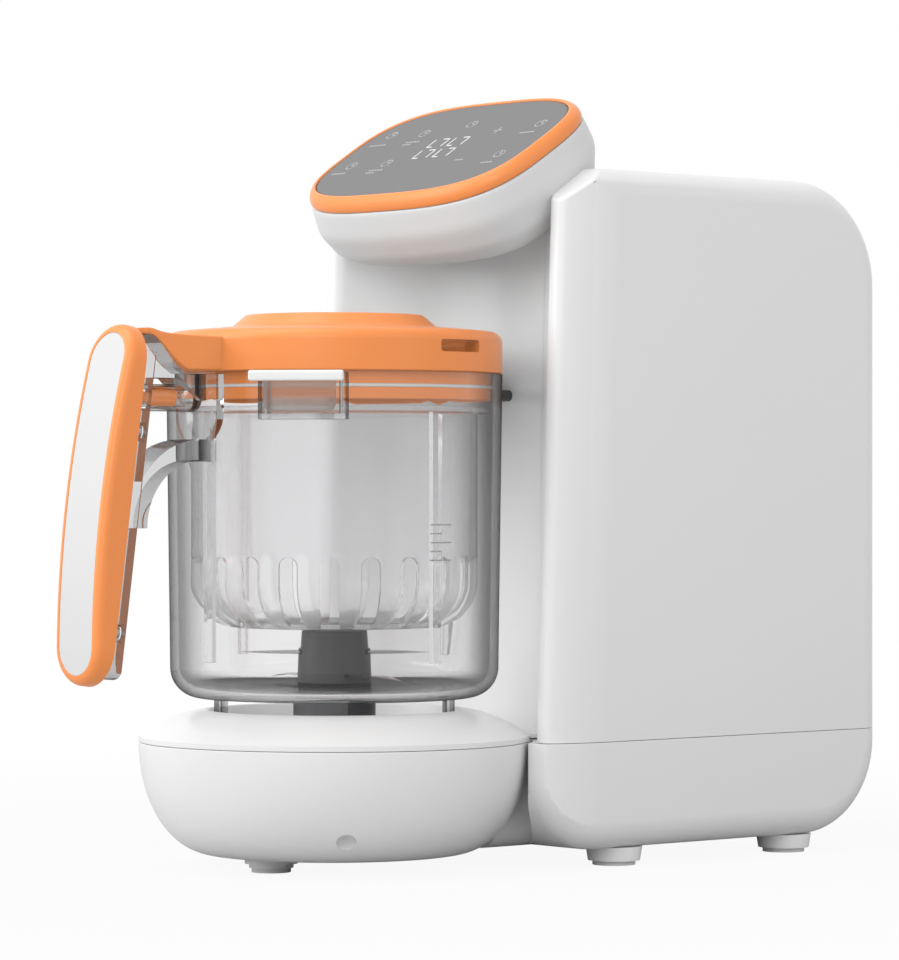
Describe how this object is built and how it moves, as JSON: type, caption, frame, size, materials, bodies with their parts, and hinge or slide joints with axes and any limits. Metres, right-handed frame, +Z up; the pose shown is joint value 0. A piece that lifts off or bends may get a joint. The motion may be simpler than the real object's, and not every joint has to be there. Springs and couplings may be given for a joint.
{
  "type": "baby food steamer",
  "caption": "Countertop steamer and blender: a clear jug with basket, blade and handle docks on a motor base beside a tower with a tilted touch panel and rear water tank.",
  "frame": {"origin": "on the floor, under the middle of the whole object's box", "axes": "+Z up, +Y from the handle towards the tower, +X to the right of a user who faces the handle"},
  "size_m": [0.14, 0.3141, 0.2722],
  "materials": {
    "white_plastic": "gloss moulded white plastic",
    "orange_plastic": "gloss moulded orange plastic",
    "panel_glass": "grey touch panel under clear glass",
    "display": "dark display block",
    "circuit_board": "green circuit board",
    "board_parts": "electronic parts",
    "dark_plastic": "dark grey moulded plastic",
    "black_plastic": "black moulded plastic",
    "rubber": "soft seal rubber",
    "pale_rubber": "pale grey pad rubber",
    "silicone": "pale silicone",
    "boiler_metal": "bare aluminium",
    "coupling_metal": "dark cast metal",
    "foot_plastic": "light grey plastic",
    "steel": "ground stainless steel",
    "clear_plastic": "clear moulded plastic",
    "basket_plastic": "milky clear moulded plastic",
    "lip_plastic": "pale clear moulded plastic",
    "inlay_plastic": "pale grey satin plastic",
    "tank_plastic": "smoky clear moulded plastic"
  },
  "bodies": {
    "base": {"tower_shell": "white_plastic", "base_tray": "white_plastic", "dock_cover": "white_plastic", "head_shell": "white_plastic", "bezel_ring": "orange_plastic", "touch_panel": "panel_glass", "digit_display": "display", "display_board": "circuit_board", "steam_nozzle": "dark_plastic", "nozzle_gasket": "rubber", "steam_hose": "silicone", "boiler": "boiler_metal", "boiler_bracket": "boiler_metal", "thermostat": "black_plastic", "water_pump": "dark_plastic", "pump_mount": "black_plastic", "feed_hose": "silicone", "boiler_hose": "silicone", "tank_port": "dark_plastic", "power_board": "circuit_board", "board_components": "board_parts", "motor_case": "boiler_metal", "motor_mount": "boiler_metal", "motor_grommets": "rubber", "interlock_switch": "black_plastic", "cord_gland": "rubber", "feet": "foot_plastic", "foot_pads": "pale_rubber", "base_screws": "steel"},
    "drive": {"motor_shaft": "steel", "motor_rotor": "coupling_metal", "drive_coupling": "dark_plastic"},
    "jug": {"jug": "clear_plastic", "spout_lip": "lip_plastic", "handle_cover": "orange_plastic", "handle_inlay": "inlay_plastic", "handle_screws": "steel", "steam_basket": "basket_plastic", "basket_grille": "basket_plastic", "basket_floor": "basket_plastic", "blade_bush": "dark_plastic", "shaft_seal": "rubber"},
    "blade": {"blade_shaft": "steel", "blade_hub": "dark_plastic", "upper_blade": "steel", "lower_blade": "steel", "driven_coupling": "coupling_metal"},
    "lid": {"lid": "orange_plastic", "lid_seal": "silicone"},
    "tank": {"water_tank": "tank_plastic", "tank_cap": "white_plastic", "tank_spigot": "dark_plastic", "tank_seal": "rubber"}
  },
  "joints": [
    {"name": "jug_lift", "type": "slide", "parent": "base", "child": "jug", "axis": [0, 0, 1], "range_m": [0, 0.02]},
    {"name": "lid_twist", "type": "hinge", "parent": "jug", "child": "lid", "pos_m": [0, -0.046, 0.18], "axis": [0, 0, -1], "range_deg": [0, 20]},
    {"name": "motor_spin", "type": "hinge", "parent": "base", "child": "drive", "pos_m": [0, -0.046, 0.05], "axis": [0, 0, 1], "continuous": true},
    {"name": "blade_spin", "type": "hinge", "parent": "jug", "child": "blade", "pos_m": [0, -0.046, 0.07], "axis": [0, 0, 1], "continuous": true},
    {"name": "tank_slide", "type": "slide", "parent": "base", "child": "tank", "axis": [0, 1, 0], "range_m": [0, 0.06]}
  ],
  "couplings": [
    {"joint": "blade_spin", "follows": "motor_spin", "ratio": 1}
  ]
}
